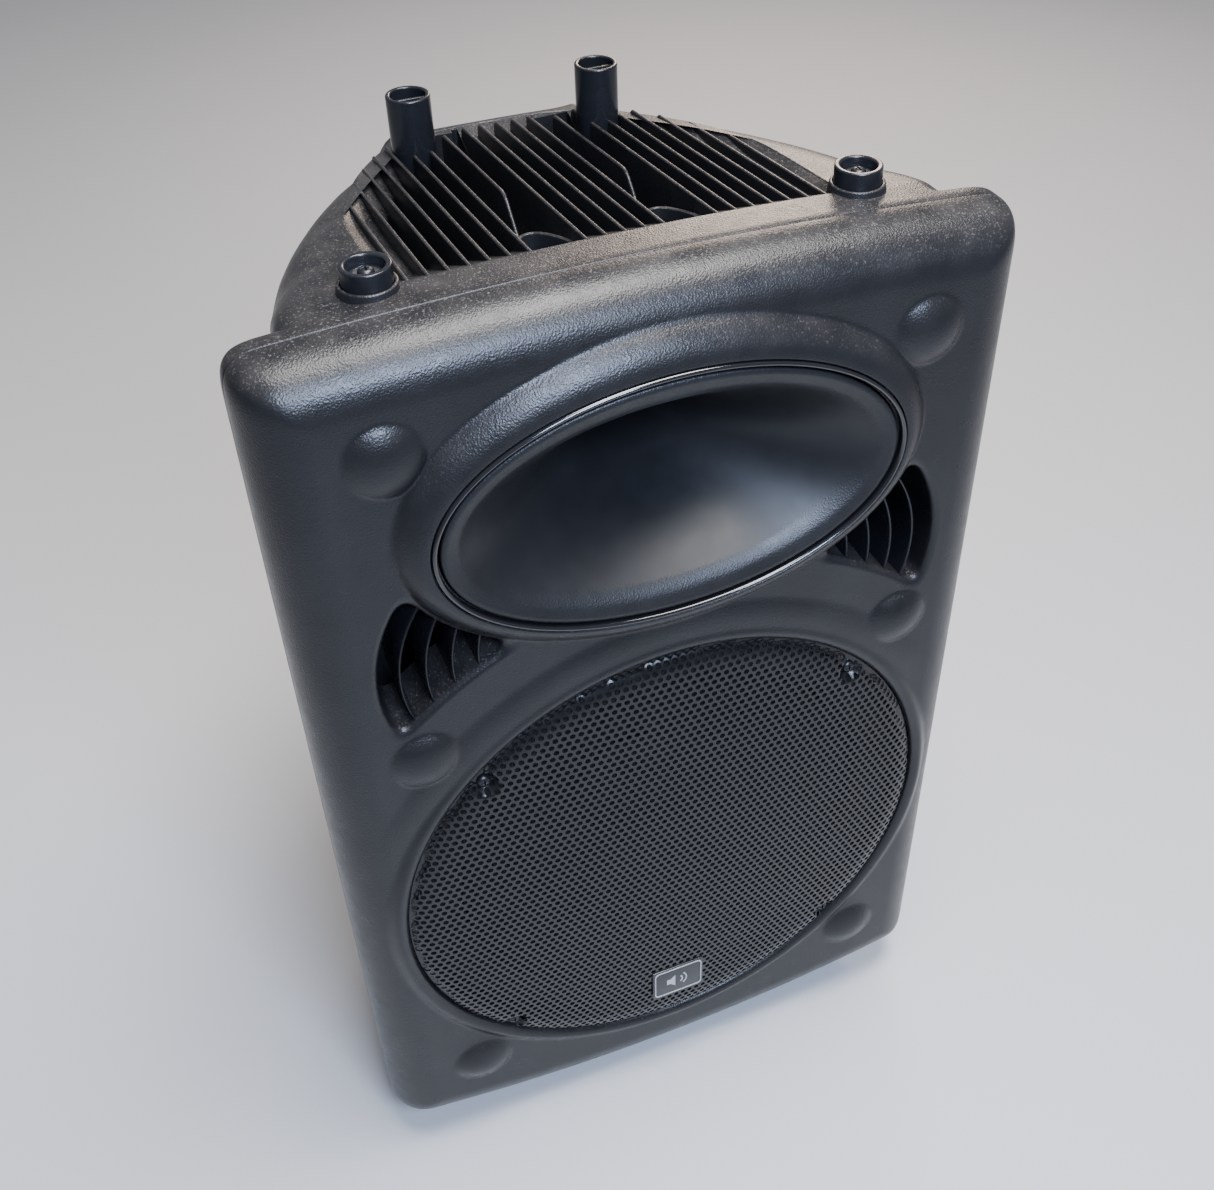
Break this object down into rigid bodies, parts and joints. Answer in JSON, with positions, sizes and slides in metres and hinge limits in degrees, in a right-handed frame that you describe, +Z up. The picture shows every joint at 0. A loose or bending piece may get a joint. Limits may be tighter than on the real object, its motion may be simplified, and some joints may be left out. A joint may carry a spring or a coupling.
{
  "type": "pa speaker cabinet",
  "caption": "Moulded two-way powered loudspeaker cabinet with a horn, a round perforated grille, stacking posts, hand grips and a pole socket.",
  "frame": {"origin": "on the floor, at the middle of the bottom of the cabinet's bounding box", "axes": "+Z up, the front with the horn and grille faces -Y, +X is to the right seen from the front"},
  "size_m": [0.45, 0.372, 0.72],
  "materials": {
    "shell": "fine leather-grained moulded plastic, satin",
    "horn": "smooth satin moulded plastic with a grained mouth",
    "gloss_trim": "glossy black bead",
    "post": "smooth black moulded plastic",
    "grille_steel": "perforated steel, semi-gloss black powder coat",
    "badge": "satin black plate with a thin pale border",
    "screw_steel": "blackened steel",
    "rubber": "matt black rubber",
    "steel": "plated steel",
    "ferrite": "dark ferrite",
    "paper_cone": "black coated paper pulp",
    "spider_cloth": "resin-treated woven cloth",
    "panel_paint": "black textured paint",
    "heatsink_aluminium": "black anodised aluminium",
    "knob": "black plastic with a pale mark",
    "circuit_board": "green circuit board",
    "copper_winding": "enamelled copper wire"
  },
  "bodies": {
    "cabinet": {"front_shell": "shell", "rear_shell": "shell", "horn_flare": "horn", "horn_trim_ring": "gloss_trim", "hf_front_plate": "steel", "hf_magnet": "ferrite", "hf_rear_cover": "steel", "woofer_basket": "steel", "woofer_top_plate": "steel", "woofer_magnet": "ferrite", "woofer_back_plate": "steel", "woofer_surround": "rubber", "woofer_spider": "spider_cloth", "woofer_grille": "grille_steel", "grille_badge": "badge", "grille_screw_1": "screw_steel", "grille_screw_2": "screw_steel", "grille_screw_3": "screw_steel", "grille_screw_4": "screw_steel", "post_front_left": "post", "post_rear_left": "post", "post_washer_left": "steel", "post_screw_left": "screw_steel", "post_front_right": "post", "post_rear_right": "post", "post_washer_right": "steel", "post_screw_right": "screw_steel", "foot_front_left": "rubber", "foot_front_right": "rubber", "foot_rear_left": "rubber", "foot_rear_right": "rubber", "pole_socket": "post", "shell_screw_1": "screw_steel", "shell_screw_2": "screw_steel", "shell_screw_3": "screw_steel", "shell_screw_4": "screw_steel", "shell_screw_5": "screw_steel", "shell_screw_6": "screw_steel", "rear_panel": "panel_paint", "heatsink": "heatsink_aluminium", "socket_mic_in": "post", "socket_line_in": "post", "socket_link_out": "post", "mains_inlet": "post", "power_switch": "post", "panel_screw_1": "screw_steel", "panel_screw_2": "screw_steel", "panel_screw_3": "screw_steel", "panel_screw_4": "screw_steel", "amp_board": "circuit_board", "mains_transformer": "copper_winding"},
    "woofer_motion": {"woofer_cone": "paper_cone", "woofer_dust_cap": "paper_cone", "woofer_voice_coil": "copper_winding"},
    "hf_motion": {"hf_diaphragm": "copper_winding"},
    "rocker": {"power_rocker": "knob"},
    "knob_mic_level": {"knob_mic_level": "knob"},
    "knob_line_level": {"knob_line_level": "knob"},
    "knob_bass": {"knob_bass": "knob"},
    "knob_treble": {"knob_treble": "knob"}
  },
  "joints": [
    {"name": "woofer_slide", "type": "slide", "parent": "cabinet", "child": "woofer_motion", "axis": [0, 1, 0], "range_m": [-0.006, 0.006], "stiffness_N_per_m": 6000},
    {"name": "hf_slide", "type": "slide", "parent": "cabinet", "child": "hf_motion", "axis": [0, 1, 0], "range_m": [-0.0005, 0.0005], "stiffness_N_per_m": 4000},
    {"name": "rocker_tilt", "type": "hinge", "parent": "cabinet", "child": "rocker", "pos_m": [0.04, 0.1643, 0.3145], "axis": [1, 0, 0], "range_deg": [-16, 0]},
    {"name": "knob_mic_level_turn", "type": "hinge", "parent": "cabinet", "child": "knob_mic_level", "pos_m": [-0.048, 0.1673, 0.424], "axis": [0, 1, 0], "range_deg": [-140, 140]},
    {"name": "knob_line_level_turn", "type": "hinge", "parent": "cabinet", "child": "knob_line_level", "pos_m": [-0.016, 0.1673, 0.424], "axis": [0, 1, 0], "range_deg": [-140, 140]},
    {"name": "knob_bass_turn", "type": "hinge", "parent": "cabinet", "child": "knob_bass", "pos_m": [0.016, 0.1673, 0.424], "axis": [0, 1, 0], "range_deg": [-140, 140]},
    {"name": "knob_treble_turn", "type": "hinge", "parent": "cabinet", "child": "knob_treble", "pos_m": [0.048, 0.1673, 0.424], "axis": [0, 1, 0], "range_deg": [-140, 140]}
  ]
}
